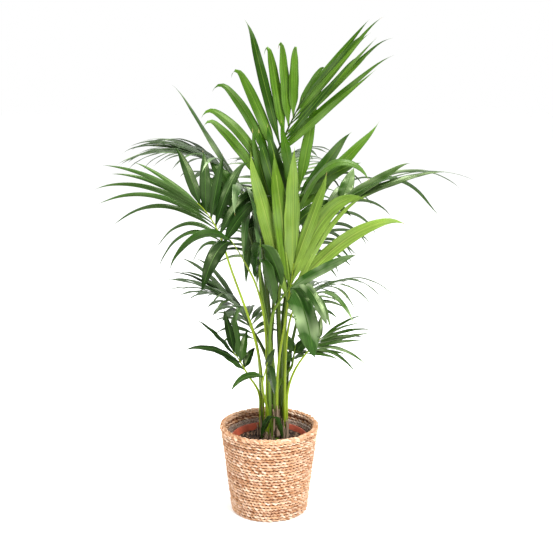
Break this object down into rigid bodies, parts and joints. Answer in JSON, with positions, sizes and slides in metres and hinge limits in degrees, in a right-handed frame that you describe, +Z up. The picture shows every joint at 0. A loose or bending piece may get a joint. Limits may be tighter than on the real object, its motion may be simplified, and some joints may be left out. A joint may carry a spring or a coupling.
{
  "type": "potted kentia palm",
  "caption": "Potted kentia palm: a clump of slender seedlings with arching feather fronds, in a grow pot that stands in a woven seagrass basket with a rolled rim.",
  "frame": {"origin": "centre of the basket's flat underside, on the surface that it stands on", "axes": "+Z up; -Y is the side that the picture is taken from, and +X is its right"},
  "size_m": [0.9121, 0.7069, 1.2198],
  "materials": {
    "seagrass": "matte",
    "clear_film": "gloss",
    "terracotta_plastic": "satin",
    "potting_mix": "matte",
    "sheath": "satin",
    "stalk": "satin",
    "leaf_dark": "satin",
    "leaf_grey_green": "satin",
    "leaf_fresh": "satin",
    "leaf_pale": "satin"
  },
  "bodies": {
    "root": {"back_left_blade": "leaf_grey_green", "back_left_stalk": "stalk", "back_right_blade": "leaf_grey_green", "back_right_stalk": "stalk", "basket": "seagrass", "crown_blade": "leaf_fresh", "crown_stalk": "stalk", "front_hanging_blade": "leaf_dark", "front_hanging_stalk": "stalk", "front_left_blade": "leaf_dark", "front_left_stalk": "stalk", "front_middle_blade": "leaf_dark", "front_middle_stalk": "stalk", "grow_pot": "terracotta_plastic", "high_back_blade": "leaf_grey_green", "high_back_stalk": "stalk", "inner_left_blade": "leaf_dark", "inner_left_stalk": "stalk", "liner": "clear_film", "low_back_left_blade": "leaf_grey_green", "low_back_left_stalk": "stalk", "low_back_right_blade": "leaf_grey_green", "low_back_right_stalk": "stalk", "low_front_blade": "leaf_dark", "low_front_left_blade": "leaf_dark", "low_front_left_stalk": "stalk", "low_front_stalk": "stalk", "low_left_blade": "leaf_dark", "low_left_stalk": "stalk", "low_middle_blade": "leaf_dark", "low_middle_stalk": "stalk", "low_right_blade": "leaf_dark", "low_right_stalk": "stalk", "mid_back_blade": "leaf_grey_green", "mid_back_stalk": "stalk", "mid_left_blade": "leaf_grey_green", "mid_left_stalk": "stalk", "mid_right_blade": "leaf_dark", "mid_right_stalk": "stalk", "right_blade": "leaf_dark", "right_stalk": "stalk", "soil": "potting_mix", "sprout_blade": "leaf_dark", "sprout_stalk": "stalk", "stem_back": "sheath", "stem_front": "sheath", "stem_left": "sheath", "stem_middle": "sheath", "stem_rear": "sheath", "stem_right": "sheath", "stem_sprout": "sheath", "upright_blade": "leaf_fresh", "upright_stalk": "stalk", "young_blade": "leaf_pale", "young_stalk": "stalk"}
  },
  "joints": []
}
